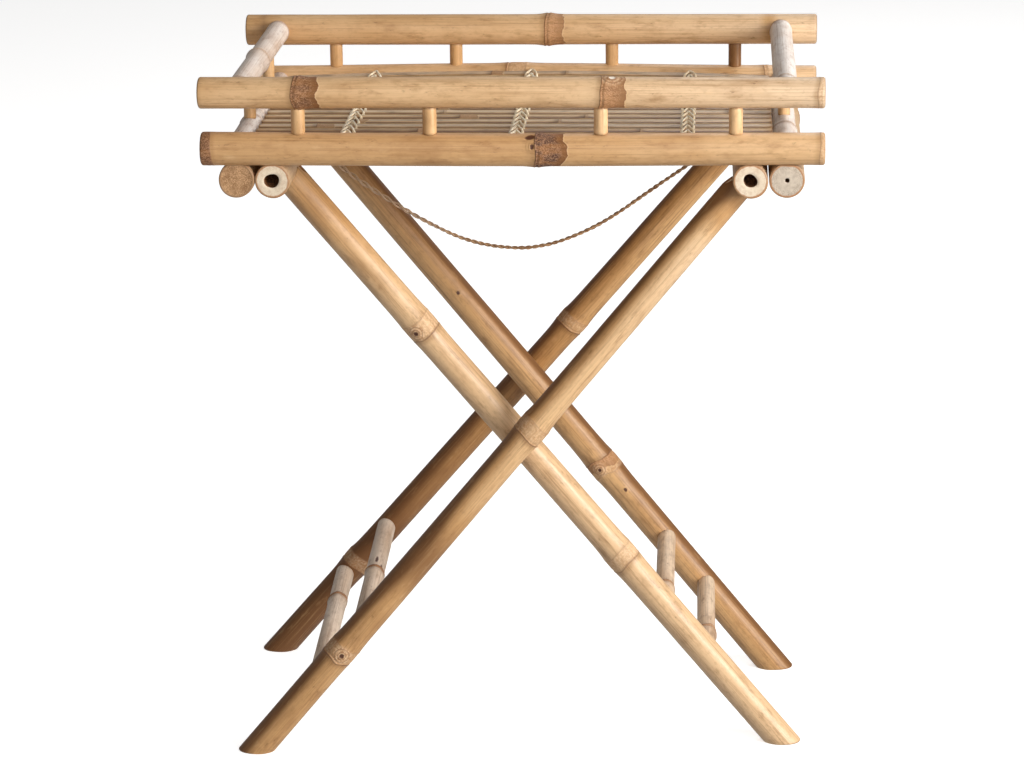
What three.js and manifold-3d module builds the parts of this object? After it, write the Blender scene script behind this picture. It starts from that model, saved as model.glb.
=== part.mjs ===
// A folding tray table in natural bamboo: a lift-off tray standing on an X-shaped folding stand.
// Millimetres. +X runs along the tray, +Y from the front to the back, +Z up from the floor.
// The origin is the middle of the table's footprint, on the floor.

import * as THREE from 'three';
import { mergeVertices } from 'three/addons/utils/BufferGeometryUtils.js';
import Module from 'manifold-3d';

const wasm = await Module();
wasm.setup();

// ---- Driving dimensions ----------------------------------------------------------------------

const GAP = 0.3;                    // clearance wherever one piece is shaped to another

const TRAY_LENGTH = 650;            // the four long rails
const RAIL_Y = 184;                 // long rail axes, in front of and behind the middle
const LOWER_RAIL_Z = 680.3;
const UPPER_RAIL_Z = 739;
const LOWER_RAIL_RADIUS = 17;
const FRONT_RAIL_RADIUS = 16.3;     // upper rail, front
const BACK_RAIL_RADIUS = 17;        // upper rail, back
const RAIL_EDGE = 2.5;              // rounded-off end of a long rail

const SIDE_X = 284;                 // side rails, left and right
const SIDE_RADIUS = 12.4;

const POST_X = [-220, -83.3, 93.7, 232.7];
const POST_RADIUS = 7.25;
const SIDE_POST_RADIUS = 6.5;
const SIDE_POSTS = [
  ['post_left_front', -SIDE_X, -82],
  ['post_left_back', -SIDE_X, 78],
  ['post_right_front', SIDE_X, -64],
  ['post_right_back', SIDE_X, 72],
];

const SLAT_COUNT = 14;
const SLAT_PITCH = 23.9;
const SLAT_WIDTH = 20.5;
const SLAT_THICKNESS = 7;
const SLAT_TOP_Z = 690;
const SLAT_LENGTH = 542.4;
const SLAT_CORNER = 5;

const BEARER_X = { left: -173, middle: 4, right: 182.4 };
const BEARER_RADIUS = 5.5;
const LASHING_HALF_WIDTH = 7;       // a stitch runs this far off the bearer's axis
const LASHING_WIDTH = 2.6;
const LASHING_THICKNESS = 1.6;

const BEAM_X = 285.6;               // tray beams, outside the bars of the stand
const BEAM_Z = 648;
const BEAM_RADIUS = 18.5;
const BAR_X = 248;                  // top bars of the stand
const BAR_Z = 647;
const BAR_RADIUS = 18.4;
const BAR_LENGTH = 380;
const BAR_EDGE = 1.2;
const BAR_BORE_RADIUS = 7.6;
const BAR_BORE_DEPTH = 26;

const OUTER_LEG_Y = 159.2;
const INNER_LEG_Y = 115.5;
const PIVOT_X = -0.9;
const PIVOT_Z = 349.3;
const PIN_RADIUS = 5;
const PIN_REACH = 11;               // how far a pin runs into each leg beyond the leg's axis
const SPACER_RADIUS = 11;
const LEG_BACK_OFF = 8;             // a leg ends this far short of its top bar's axis

// name, y, x on the floor, x at the height of the top bars, radius at the foot, radius at the top
const LEGS = {
  outer_front: { y: -OUTER_LEG_Y, footX: -290, topX: 246, footRadius: 15.8, topRadius: 15 },
  outer_back: { y: OUTER_LEG_Y, footX: -303.5, topX: 258, footRadius: 16, topRadius: 15.4 },
  inner_front: { y: -INNER_LEG_Y, footX: 288, topX: -248.5, footRadius: 16.2, topRadius: 16.6 },
  inner_back: { y: INNER_LEG_Y, footX: 282.5, topX: -242, footRadius: 17, topRadius: 16.2 },
};

const STRETCHER_LIFT = 3.5;         // above the legs' axes

// distance down the legs from the pivot, and radius
const STRETCHERS = {
  outer_upper: { distance: 258, radius: 10.5 },
  outer_lower: { distance: 335, radius: 10.5 },
  inner_upper: { distance: 246, radius: 10.2 },
  inner_lower: { distance: 318, radius: 10.2 },
};

const ROPE_RADIUS = 2.25;
const ROPE_HOLE_RADIUS = 3.2;       // drilled into the inner side of each top bar
const ROPE_HOLE_DEPTH = 11;

// The rope's route from the hole in one top bar to the hole in the other, at y = 0: x, z.
const ROPE_ROUTE = [
  [-240, 647], [-234, 647], [-228, 646.4], [-221, 642.4], [-212, 634], [-201.4, 624.2],
  [-179, 606.4], [-155, 589.8], [-127.8, 572.3], [-98, 555.6], [-67.9, 541.4], [-36, 532.6],
  [-2, 529.6], [22, 532.2], [42, 537.4], [65, 546.6], [86, 557.2], [108, 571], [129.7, 586.4],
  [153, 602.9], [171, 615.3], [187.5, 626.6], [205, 637.4], [217, 643.4], [228, 646.5],
  [234, 647], [240, 647],
];

// ---- Materials -------------------------------------------------------------------------------

const material = (color, roughness) => new THREE.MeshStandardMaterial({ color, roughness, metalness: 0 });

const pole = material(0xd2a86c, 0.5);
const darkPole = material(0xb08a55, 0.55);
const slat = material(0xcdb083, 0.5);
const peg = material(0xc79b62, 0.6);
const cord = material(0xefe6d2, 0.85);
const jute = material(0x9a7449, 0.95);

// ---- Building blocks -------------------------------------------------------------------------

const SIDES = 24;

// A round pole along +Z from its own origin, tapering, with its end edges taken off.
function poleGeometry(startRadius, endRadius, length, edge, sides = SIDES) {
  const outline = [
    new THREE.Vector2(0, 0),
    new THREE.Vector2(startRadius - edge, 0),
    new THREE.Vector2(startRadius, edge),
    new THREE.Vector2(endRadius, length - edge),
    new THREE.Vector2(endRadius - edge, length),
    new THREE.Vector2(0, length),
  ];
  return new THREE.LatheGeometry(outline, sides).rotateX(Math.PI / 2);
}

// A named mesh of a round pole from one point to another.
function poleMesh(name, from, to, startRadius, endRadius, look, edge = 0.6, sides = SIDES) {
  const along = to.clone().sub(from);
  const geometry = poleGeometry(startRadius, endRadius, along.length(), edge, sides);
  const mesh = new THREE.Mesh(geometry, look.clone());
  mesh.name = name;
  mesh.position.copy(from);
  mesh.quaternion.setFromUnitVectors(new THREE.Vector3(0, 0, 1), along.normalize());
  mesh.userData = { from, to, startRadius, endRadius };
  return mesh;
}

// The same pole, fatter by the clearance: what a neighbour shaped to it is cut with.
function clearanceOf(mesh) {
  const { from, to, startRadius, endRadius } = mesh.userData;
  return poleMesh('', from, to, startRadius + GAP, endRadius + GAP, pole, 0.1);
}

function toSolid(mesh) {
  mesh.updateMatrixWorld(true);
  const geometry = mesh.geometry.clone().applyMatrix4(mesh.matrixWorld);
  geometry.deleteAttribute('normal');
  geometry.deleteAttribute('uv');
  const merged = mergeVertices(geometry, 1e-4);
  const vertProperties = Float32Array.from(merged.attributes.position.array);
  const triVerts = Uint32Array.from(merged.index.array);
  return new wasm.Manifold(new wasm.Mesh({ numProp: 3, vertProperties, triVerts }));
}

// Puts a solid back into a mesh, in the mesh's own frame.
function setSolid(mesh, solid) {
  const result = solid.getMesh();
  const geometry = new THREE.BufferGeometry();
  geometry.setAttribute('position', new THREE.BufferAttribute(result.vertProperties, 3));
  geometry.setIndex(new THREE.BufferAttribute(result.triVerts, 1));
  geometry.applyMatrix4(mesh.matrixWorld.clone().invert());
  geometry.computeVertexNormals();
  mesh.geometry = geometry;
  return mesh;
}

// Cuts a mesh with others, all in the table's frame.
function cut(mesh, cutters) {
  let solid = toSolid(mesh);
  for (const cutter of cutters) solid = solid.subtract(toSolid(cutter));
  return setSolid(mesh, solid);
}

// Joins meshes into the first one.
function join(meshes) {
  let solid = toSolid(meshes[0]);
  for (const other of meshes.slice(1)) solid = solid.add(toSolid(other));
  return setSolid(meshes[0], solid);
}

const point = (x, y, z) => new THREE.Vector3(x, y, z);

// ---- Tray ------------------------------------------------------------------------------------

const tray = new THREE.Group();

function longRail(name, y, z, radius, look) {
  const from = point(-TRAY_LENGTH / 2, y, z);
  const to = point(TRAY_LENGTH / 2, y, z);
  return poleMesh(name, from, to, radius, radius, look, RAIL_EDGE);
}

const rails = {
  frontUpper: longRail('rail_front_upper', -RAIL_Y, UPPER_RAIL_Z, FRONT_RAIL_RADIUS, pole),
  frontLower: longRail('rail_front_lower', -RAIL_Y, LOWER_RAIL_Z, LOWER_RAIL_RADIUS, pole),
  backUpper: longRail('rail_back_upper', RAIL_Y, UPPER_RAIL_Z, BACK_RAIL_RADIUS, pole),
  backLower: longRail('rail_back_lower', RAIL_Y, LOWER_RAIL_Z, LOWER_RAIL_RADIUS, pole),
};
const upperRails = [rails.frontUpper, rails.backUpper].map(clearanceOf);
const lowerRails = [rails.frontLower, rails.backLower].map(clearanceOf);

function sideRail(name, x, z, longRails) {
  const mesh = poleMesh(name, point(x, -RAIL_Y, z), point(x, RAIL_Y, z), SIDE_RADIUS, SIDE_RADIUS, pole);
  return cut(mesh, longRails);
}

const sideRails = {
  leftUpper: sideRail('side_rail_left_upper', -SIDE_X, UPPER_RAIL_Z, upperRails),
  leftLower: sideRail('side_rail_left_lower', -SIDE_X, LOWER_RAIL_Z, lowerRails),
  rightUpper: sideRail('side_rail_right_upper', SIDE_X, UPPER_RAIL_Z, upperRails),
  rightLower: sideRail('side_rail_right_lower', SIDE_X, LOWER_RAIL_Z, lowerRails),
};

const POST_SIDES = 14;

function post(name, x, y, radius, ends) {
  const from = point(x, y, LOWER_RAIL_Z);
  const to = point(x, y, UPPER_RAIL_Z);
  return cut(poleMesh(name, from, to, radius, radius, peg, 0.6, POST_SIDES), ends);
}

function railPosts() {
  const posts = [];
  POST_X.forEach((x, index) => {
    const front = [upperRails[0], lowerRails[0]];
    const back = [upperRails[1], lowerRails[1]];
    posts.push(post(`post_front_${index + 1}`, x, -RAIL_Y, POST_RADIUS, front));
    posts.push(post(`post_back_${index + 1}`, x, RAIL_Y, POST_RADIUS, back));
  });
  return posts;
}

function sidePosts() {
  const ends = Object.values(sideRails).map(clearanceOf);
  return SIDE_POSTS.map(([name, x, y]) => post(name, x, y, SIDE_POST_RADIUS, ends));
}

function trayBeam(name, x) {
  const from = point(x, -BAR_LENGTH / 2, BEAM_Z);
  const to = point(x, BAR_LENGTH / 2, BEAM_Z);
  return cut(poleMesh(name, from, to, BEAM_RADIUS, BEAM_RADIUS, pole, BAR_EDGE), lowerRails);
}

function slatOutline() {
  const x = SLAT_LENGTH / 2 - SLAT_CORNER;
  const y = SLAT_WIDTH / 2 - SLAT_CORNER;
  const outline = new THREE.Shape();
  outline.absarc(x, y, SLAT_CORNER, 0, Math.PI / 2);
  outline.absarc(-x, y, SLAT_CORNER, Math.PI / 2, Math.PI);
  outline.absarc(-x, -y, SLAT_CORNER, Math.PI, 1.5 * Math.PI);
  outline.absarc(x, -y, SLAT_CORNER, 1.5 * Math.PI, 2 * Math.PI);
  return outline;
}

const slatY = (index) => (index - (SLAT_COUNT - 1) / 2) * SLAT_PITCH;

function slats() {
  const geometry = new THREE.ExtrudeGeometry(slatOutline(), {
    depth: SLAT_THICKNESS,
    bevelEnabled: false,
    curveSegments: 2,
  });
  return Array.from({ length: SLAT_COUNT }, (_, index) => {
    const mesh = new THREE.Mesh(geometry.clone(), slat.clone());
    mesh.name = `slat_${String(index + 1).padStart(2, '0')}`;
    mesh.position.set(0, slatY(index), SLAT_TOP_Z - SLAT_THICKNESS);
    return mesh;
  });
}

const bearerZ = SLAT_TOP_Z - SLAT_THICKNESS - GAP - BEARER_RADIUS;

function bearer(side) {
  const x = BEARER_X[side];
  const from = point(x, -RAIL_Y, bearerZ);
  const to = point(x, RAIL_Y, bearerZ);
  return cut(poleMesh(`slat_bearer_${side}`, from, to, BEARER_RADIUS, BEARER_RADIUS, peg), lowerRails);
}

// One turn of the lashing through the gap between two slats and round the bearer below them.
function lashingTurn(x, y) {
  const top = SLAT_TOP_Z + GAP + LASHING_THICKNESS - bearerZ;
  const inner = BEARER_RADIUS + GAP;
  const outer = inner + LASHING_WIDTH;
  const ring = new THREE.Shape();
  ring.moveTo(outer, 0);
  ring.lineTo(outer, top);
  ring.lineTo(-outer, top);
  ring.lineTo(-outer, 0);
  ring.absarc(0, 0, outer, Math.PI, 2 * Math.PI);
  const hole = new THREE.Path();
  hole.moveTo(inner, 0);
  hole.absarc(0, 0, inner, 2 * Math.PI, Math.PI, true);
  hole.lineTo(-inner, top - LASHING_WIDTH);
  hole.lineTo(inner, top - LASHING_WIDTH);
  ring.holes.push(hole);
  const geometry = new THREE.ExtrudeGeometry(ring, {
    depth: LASHING_WIDTH,
    bevelEnabled: false,
    curveSegments: 3,
  });
  const mesh = new THREE.Mesh(geometry, cord);
  mesh.rotation.x = Math.PI / 2;
  mesh.position.set(x, y + LASHING_WIDTH / 2, bearerZ);
  return mesh;
}

// One slanting stitch on top of a slat, from the bearer's axis at the back edge out to one side.
function lashingStitch(x, y, side) {
  const run = side * LASHING_HALF_WIDTH;
  const length = Math.hypot(run, SLAT_PITCH);
  const geometry = new THREE.BoxGeometry(LASHING_WIDTH, length, LASHING_THICKNESS);
  const mesh = new THREE.Mesh(geometry, cord);
  mesh.position.set(x + run / 2, y, SLAT_TOP_Z + GAP + LASHING_THICKNESS / 2);
  mesh.rotation.z = Math.atan2(run, SLAT_PITCH);
  return mesh;
}

function lashing(side) {
  const x = BEARER_X[side];
  const pieces = [];
  for (let index = 0; index < SLAT_COUNT; index += 1) {
    const y = slatY(index);
    if (index > 0) pieces.push(lashingTurn(x, y - SLAT_PITCH / 2));
    for (const stitchSide of [-1, 1]) pieces.push(lashingStitch(x, y, stitchSide));
  }
  const mesh = new THREE.Mesh(pieces[0].geometry, cord.clone());
  mesh.position.copy(pieces[0].position);
  mesh.rotation.copy(pieces[0].rotation);
  mesh.name = `lashing_${side}`;
  return join([mesh, ...pieces.slice(1)]);
}

tray.add(...Object.values(rails), ...Object.values(sideRails), ...railPosts(), ...sidePosts());
tray.add(trayBeam('tray_beam_left', -BEAM_X), trayBeam('tray_beam_right', BEAM_X), ...slats());
for (const side of Object.keys(BEARER_X)) tray.add(bearer(side), lashing(side));

// ---- Stand -----------------------------------------------------------------------------------

const outerFrame = new THREE.Group();
const innerFrame = new THREE.Group();

// What is drilled out along Y, to a depth on both sides of a point.
function drill(radius, depth, at) {
  const mesh = new THREE.Mesh(new THREE.CylinderGeometry(radius, radius, 2 * depth, 16));
  mesh.position.copy(at);
  return mesh;
}

function topBar(name, x) {
  const from = point(x, -BAR_LENGTH / 2, BAR_Z);
  const to = point(x, BAR_LENGTH / 2, BAR_Z);
  const bar = poleMesh(name, from, to, BAR_RADIUS, BAR_RADIUS, pole, BAR_EDGE);
  const bores = [from, to].map((end) => drill(BAR_BORE_RADIUS, BAR_BORE_DEPTH, end));
  const ropeHole = drill(ROPE_HOLE_RADIUS, ROPE_HOLE_DEPTH, point(x - Math.sign(x) * BAR_RADIUS, 0, BAR_Z));
  ropeHole.rotation.z = Math.PI / 2;
  return cut(bar, [...lowerRails, ...bores, ropeHole]);
}

const barClearance = (x) => poleMesh(
  '',
  point(x, -RAIL_Y, BAR_Z),
  point(x, RAIL_Y, BAR_Z),
  BAR_RADIUS + GAP,
  BAR_RADIUS + GAP,
  pole,
);

// The pin of one side of the stand, from inside one leg to inside the other.
function pivotPin(name, side, radius, extra) {
  const from = point(PIVOT_X, side * (OUTER_LEG_Y + PIN_REACH + extra), PIVOT_Z);
  const to = point(PIVOT_X, side * (INNER_LEG_Y - PIN_REACH - extra), PIVOT_Z);
  return poleMesh(name, from, to, radius, radius, peg, 0.3, 16);
}

function pivotSpacer(name, side) {
  const outerLeg = side < 0 ? LEGS.outer_front : LEGS.outer_back;
  const innerLeg = side < 0 ? LEGS.inner_front : LEGS.inner_back;
  const from = OUTER_LEG_Y - Math.max(outerLeg.footRadius, outerLeg.topRadius) - GAP;
  const to = INNER_LEG_Y + Math.max(innerLeg.footRadius, innerLeg.topRadius) + GAP;
  const ends = [from, to].map((y) => point(PIVOT_X, side * y, PIVOT_Z));
  const spacer = poleMesh(name, ...ends, SPACER_RADIUS, SPACER_RADIUS, darkPole, 0.8, 20);
  return cut(spacer, [pivotPin('', side, PIN_RADIUS + GAP, GAP)]);
}

function floorBlock() {
  const block = new THREE.Mesh(new THREE.BoxGeometry(1000, 600, 100));
  block.position.z = -50;
  return block;
}

const LEG_OVERRUN = 40;             // extra leg below the floor, cut off level

// The whole round pole of a leg, before it is cut to its neighbours.
function legPole(key, look) {
  const { y, footX, topX, footRadius, topRadius } = LEGS[key];
  const foot = point(footX, y, 0);
  const top = point(topX, y, BAR_Z);
  const along = top.clone().sub(foot).normalize();
  const from = foot.clone().addScaledVector(along, -LEG_OVERRUN);
  const to = top.clone().addScaledVector(along, -LEG_BACK_OFF);
  return poleMesh(`leg_${key}`, from, to, footRadius, topRadius, look);
}

function leg(key, barX, look) {
  const side = Math.sign(LEGS[key].y);
  const pin = pivotPin('', side, PIN_RADIUS + GAP, GAP);
  return cut(legPole(key, look), [floorBlock(), barClearance(barX), pin]);
}

// A point at a distance down a leg from the pivot, lifted square to the leg.
function stretcherEnd(key, distance) {
  const { y, footX, topX } = LEGS[key];
  const down = point(footX - topX, 0, -BAR_Z).normalize();
  const up = point(-Math.sign(down.x) * down.z, 0, Math.abs(down.x));
  const atPivotHeight = point(footX + (topX - footX) * PIVOT_Z / BAR_Z, y, PIVOT_Z);
  return atPivotHeight.addScaledVector(down, distance).addScaledVector(up, STRETCHER_LIFT);
}

function stretcher(key, frontLeg, backLeg) {
  const { distance, radius } = STRETCHERS[key];
  const from = stretcherEnd(frontLeg, distance);
  const to = stretcherEnd(backLeg, distance);
  const mesh = poleMesh(`stretcher_${key}`, from, to, radius, radius, darkPole);
  return cut(mesh, [frontLeg, backLeg].map((name) => clearanceOf(legPole(name, pole))));
}

function rope() {
  const points = ROPE_ROUTE.map(([x, z]) => point(x, 0, z));
  const route = new THREE.CatmullRomCurve3(points, false, 'centripetal');
  const section = new THREE.Shape();
  section.absarc(0, 0, ROPE_RADIUS, 0, 2 * Math.PI);
  const geometry = new THREE.ExtrudeGeometry(section, {
    steps: 60,
    extrudePath: route,
    curveSegments: 4,
    bevelEnabled: false,
  });
  const mesh = new THREE.Mesh(geometry, jute.clone());
  mesh.name = 'rope';
  return mesh;
}

outerFrame.add(leg('outer_front', BAR_X, pole), leg('outer_back', BAR_X, darkPole));
outerFrame.add(topBar('top_bar_right', BAR_X));
outerFrame.add(stretcher('outer_upper', 'outer_front', 'outer_back'));
outerFrame.add(stretcher('outer_lower', 'outer_front', 'outer_back'));
outerFrame.add(pivotPin('pivot_pin_front', -1, PIN_RADIUS, 0), pivotPin('pivot_pin_back', 1, PIN_RADIUS, 0));
outerFrame.add(pivotSpacer('pivot_spacer_front', -1), pivotSpacer('pivot_spacer_back', 1));
outerFrame.add(rope());

innerFrame.add(leg('inner_front', -BAR_X, pole), leg('inner_back', -BAR_X, darkPole));
innerFrame.add(topBar('top_bar_left', -BAR_X));
innerFrame.add(stretcher('inner_upper', 'inner_front', 'inner_back'));
innerFrame.add(stretcher('inner_lower', 'inner_front', 'inner_back'));

const group = new THREE.Group();
group.add(outerFrame, innerFrame, tray);

export default group;
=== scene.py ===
"""A folding tray table of natural bamboo: a railed, slatted tray on an X-shaped folding stand.

Every pole is rebuilt round its CAD pole with its rings, buds, sheath scars, cut ends and fitted joints.
Metres throughout, in the CAD model's frame: +X along the tray, +Y to the back, +Z up.
"""

import math

import bpy
import numpy as np
from mathutils import Matrix, Vector


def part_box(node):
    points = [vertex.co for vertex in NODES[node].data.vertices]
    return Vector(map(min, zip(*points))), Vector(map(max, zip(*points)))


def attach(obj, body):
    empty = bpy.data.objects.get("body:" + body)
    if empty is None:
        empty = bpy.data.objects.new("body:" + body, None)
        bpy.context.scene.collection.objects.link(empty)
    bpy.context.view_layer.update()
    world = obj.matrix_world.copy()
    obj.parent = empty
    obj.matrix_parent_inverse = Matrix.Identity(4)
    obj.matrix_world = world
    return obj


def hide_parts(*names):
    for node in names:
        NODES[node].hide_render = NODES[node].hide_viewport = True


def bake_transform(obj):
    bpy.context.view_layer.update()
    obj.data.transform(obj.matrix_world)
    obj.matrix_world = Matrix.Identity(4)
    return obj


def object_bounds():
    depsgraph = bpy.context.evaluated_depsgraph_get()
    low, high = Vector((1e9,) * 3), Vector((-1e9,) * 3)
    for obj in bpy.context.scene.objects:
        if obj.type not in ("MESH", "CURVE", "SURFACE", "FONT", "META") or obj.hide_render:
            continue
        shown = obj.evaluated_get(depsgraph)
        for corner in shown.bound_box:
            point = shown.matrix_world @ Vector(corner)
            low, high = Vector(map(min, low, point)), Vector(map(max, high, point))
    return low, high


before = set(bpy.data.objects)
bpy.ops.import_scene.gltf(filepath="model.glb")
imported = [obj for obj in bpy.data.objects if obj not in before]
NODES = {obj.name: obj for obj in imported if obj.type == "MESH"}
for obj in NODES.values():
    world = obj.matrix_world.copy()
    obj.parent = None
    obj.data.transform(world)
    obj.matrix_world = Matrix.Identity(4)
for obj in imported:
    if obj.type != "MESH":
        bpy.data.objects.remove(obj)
cad_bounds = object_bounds()

MM = 0.001


# ---- Camera, light and floor ----


def make_camera():
    """A long lens from the front, a little to the right and above, rolled by under a degree."""
    low, high = (np.array(corner) for corner in cad_bounds)
    middle = (low + high) / 2
    place = Vector((middle[0] + 0.2163, middle[1] - 3.6346, 1.423))
    pitch, yaw, roll = math.radians(16.07), math.radians(3.61), math.radians(-0.74)
    ahead = Vector((-math.sin(yaw) * math.cos(pitch), math.cos(yaw) * math.cos(pitch), -math.sin(pitch)))
    level = Vector((math.cos(yaw), math.sin(yaw), 0))
    up = level.cross(ahead)
    right = math.cos(roll) * level + math.sin(roll) * up
    up = right.cross(ahead)
    data = bpy.data.cameras.new("camera")
    data.lens = 119.97
    data.sensor_width = 36
    data.clip_end = 50
    camera = bpy.data.objects.new("camera", data)
    camera.matrix_world = Matrix.Translation(place) @ Matrix((right, up, -ahead)).transposed().to_4x4()
    bpy.context.collection.objects.link(camera)
    bpy.context.scene.camera = camera


def make_area_light(name, turn, rise, distance, size, power, colour):
    """A round soft light, at a turn to the right of the front and a rise above level."""
    target = Vector((0, 0, 0.42))
    turn, rise = math.radians(turn), math.radians(rise)
    way = Vector((math.sin(turn) * math.cos(rise), -math.cos(turn) * math.cos(rise), math.sin(rise)))
    data = bpy.data.lights.new(name, "AREA")
    data.shape = "DISK"
    data.size = size
    data.energy = power
    data.color = colour
    light = bpy.data.objects.new(name, data)
    light.location = target + distance * way
    light.rotation_euler = way.to_track_quat("Z", "Y").to_euler()
    bpy.context.collection.objects.link(light)


def add_backdrop(piece, name, glow):
    """A pale surface that is seen but throws no light of its own on the table."""
    piece.name = name
    look = bpy.data.materials.new(name)
    look.use_nodes = True
    surface = look.node_tree.nodes["Principled BSDF"]
    surface.inputs["Base Color"].default_value = (0.8, 0.8, 0.8, 1)
    surface.inputs["Roughness"].default_value = 0.9
    surface.inputs["Emission Color"].default_value = (1, 1, 1, 1)
    surface.inputs["Emission Strength"].default_value = glow
    piece.data.materials.append(look)
    piece.visible_diffuse = False
    piece.visible_glossy = False


def make_studio():
    """A soft key light from the low right, weaker ones from front and back, and a plain pale floor."""
    bpy.context.scene.view_settings.view_transform = "Standard"
    world = bpy.data.worlds.new("studio")
    bpy.context.scene.world = world
    world.use_nodes = True
    background = world.node_tree.nodes["Background"]
    background.inputs["Color"].default_value = (1, 0.98, 0.96, 1)
    place = world.node_tree.nodes.new("ShaderNodeTexCoord")
    split = world.node_tree.nodes.new("ShaderNodeSeparateXYZ")
    spread = world.node_tree.nodes.new("ShaderNodeMapRange")
    for socket, value in (("From Min", -0.8), ("From Max", 0.4), ("To Min", 0.54), ("To Max", 0.18)):
        spread.inputs[socket].default_value = value
    world.node_tree.links.new(place.outputs["Generated"], split.inputs[0])
    world.node_tree.links.new(split.outputs[2], spread.inputs["Value"])
    world.node_tree.links.new(spread.outputs[0], background.inputs["Strength"])
    make_area_light("key", 56, 16, 3.4, 1.8, 122, (1, 0.98, 0.95))
    make_area_light("fill", 16, 28, 4.2, 3.0, 46, (1, 0.985, 0.97))
    make_area_light("back", 158, 42, 4.4, 2.6, 58, (1, 0.99, 0.98))
    bpy.ops.mesh.primitive_plane_add(size=30, location=(0, 0, 0))
    add_backdrop(bpy.context.object, "floor", 0.66)
    bpy.ops.mesh.primitive_uv_sphere_add(segments=48, ring_count=24, radius=14, location=(0, 0, 0))
    dome = bpy.context.object
    dome.visible_shadow = False
    add_backdrop(dome, "backdrop", 1.1)


# ---- Straight CAD poles ----


class Pole:
    """The axis and radii of a straight CAD pole, worked out from its long faces."""

    def __init__(self, node):
        mesh = NODES[node].data
        points = np.array([v.co for v in mesh.vertices])
        mesh.calc_loop_triangles()
        faces = np.array([t.vertices for t in mesh.loop_triangles])
        corners = points[faces]
        longest = np.linalg.norm(corners - np.roll(corners, 1, axis=1), axis=2).max(axis=1)
        kept = longest > 0.5 * longest.max()
        across = np.cross(corners[kept, 1] - corners[kept, 0], corners[kept, 2] - corners[kept, 0])
        across /= np.linalg.norm(across, axis=1)[:, None]
        axis = np.linalg.svd(across)[2][2]
        self.axis = axis * np.sign(axis[np.argmax(np.abs(axis) + (0, 0, 0.3))])
        skin = points[np.unique(faces[kept])]
        self.along = points @ self.axis
        flat = skin - np.outer(skin @ self.axis, self.axis)
        table = np.c_[2 * flat, np.ones(len(flat))]
        centre = np.linalg.lstsq(table, (flat**2).sum(axis=1), rcond=None)[0][:3]
        self.centre = centre - (centre @ self.axis) * self.axis
        radii = np.linalg.norm(flat - self.centre, axis=1)
        slope, base = np.polyfit(skin @ self.axis, radii, 1)
        self.low, self.high = self.along.min(), self.along.max()
        self.radii = (base + slope * self.low, base + slope * self.high)
        self.length = self.high - self.low

    def at(self, distance):
        """The axis point at a distance from the pole's low end."""
        return self.centre + (self.low + distance) * self.axis


def sides_of(axis):
    """Two directions square to an axis and to each other; the first points as far up as it can."""
    up = np.array((0, 0, 1.0)) if abs(axis[2]) < 0.95 else np.array((0, -1.0, 0))
    first = up - (up @ axis) * axis
    first /= np.linalg.norm(first)
    return first, np.cross(axis, first)


# ---- Ends of a pole ----

BITE = 1.0 * MM  # a fitted end runs this far into its neighbour


def flat_end(points, inward):
    return np.zeros(len(points))


def cut_back(distance):
    """A flat end a little inside the CAD pole's end."""

    def reach(points, inward):
        return np.full(len(points), distance)

    return reach


def fitted_to(neighbour):
    """An end shaped to the round skin of another pole."""

    def reach(points, inward):
        axis = neighbour.axis
        offset = points - neighbour.centre
        offset = offset - np.outer(offset @ axis, axis)
        run = inward - (inward @ axis) * axis
        where = np.clip((points @ axis - neighbour.low) / neighbour.length, 0, 1)
        radius = neighbour.radii[0] + where * (neighbour.radii[1] - neighbour.radii[0]) - BITE
        a = run @ run
        b = offset @ run
        c = (offset**2).sum(axis=1) - radius**2
        inside = b * b - a * c
        root = (-b + np.sqrt(np.maximum(inside, 0))) / a
        return np.where(inside > 0, np.maximum(root, 0), 0)

    return reach


def level_end(height):
    """An end cut level at a height."""

    def reach(points, inward):
        return (height - points[:, 2]) / inward[2]

    return reach


def trimmed(fitted, point, outward):
    """An end that is also cut off by a plane through a point."""

    def reach(points, inward):
        plane = ((point - points) @ outward) / (inward @ outward)
        return np.maximum(fitted(points, inward), plane)

    return reach


# ---- Culms ----

RING_STEPS = (-14, -10, -7, -5, -3.6, -2.6, -1.8, -1.2, -0.8, -0.4, 0, 0.4, 0.8, 1.2, 1.8, 2.6, 3.5, 4.6, 6)
RING_STEPS = np.array(RING_STEPS) * MM
BAND_STEPS = np.array((-4, -2.5, -1.5, -0.7, 0, 0.7, 1.5, 2.5, 4, 6, 9, 13)) * MM
EDGE_STEPS = np.array((0, 0.06, 0.22, 0.45, 0.72, 1))
SKIN, CUT, BORE = 0, 1, 2
NOTCH_REACH = 12 * MM  # the skin is finer this far to either side of a notch
END_REACH = 30 * MM  # a fitted end moves the skin no further than this from itself
NO_RING, NO_BUD = 1e3, 1e3  # distances in millimetres for skin without a ring or a bud near it
FAR = 60.0  # a ring colours the skin no further than this from itself, in millimetres


class Ring:
    """A joint of the culm: where it is, how far its sheath patch and its upper ridge lie beyond it, its buds.

    ink is how dark its lines are, and shade is how dark its patch is, both from 0 to 1.
    """

    def __init__(self, at, patch=0.0, buds=(), swell=1.0, way=1, band=4.5, ink=0.7, shade=0.5):
        self.at, self.patch, self.buds, self.swell, self.way, self.band = at, patch, buds, swell, way, band
        self.ink, self.shade = ink, shade


class Bud:
    """A bud scar: the way it faces, how far beyond the ring it is, its size and its stretch along the culm."""

    def __init__(self, facing, beyond, size=1.0, stretch=1.15, ink=1.0):
        self.facing, self.beyond = np.array(facing, float), beyond
        self.size, self.stretch, self.ink = size, stretch, ink


SOLID = 3.0  # the ink of a bud scar that is one dark spot, without rims round it
PALE = -1.0  # the ink of a bud scar with a pale middle


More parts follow.
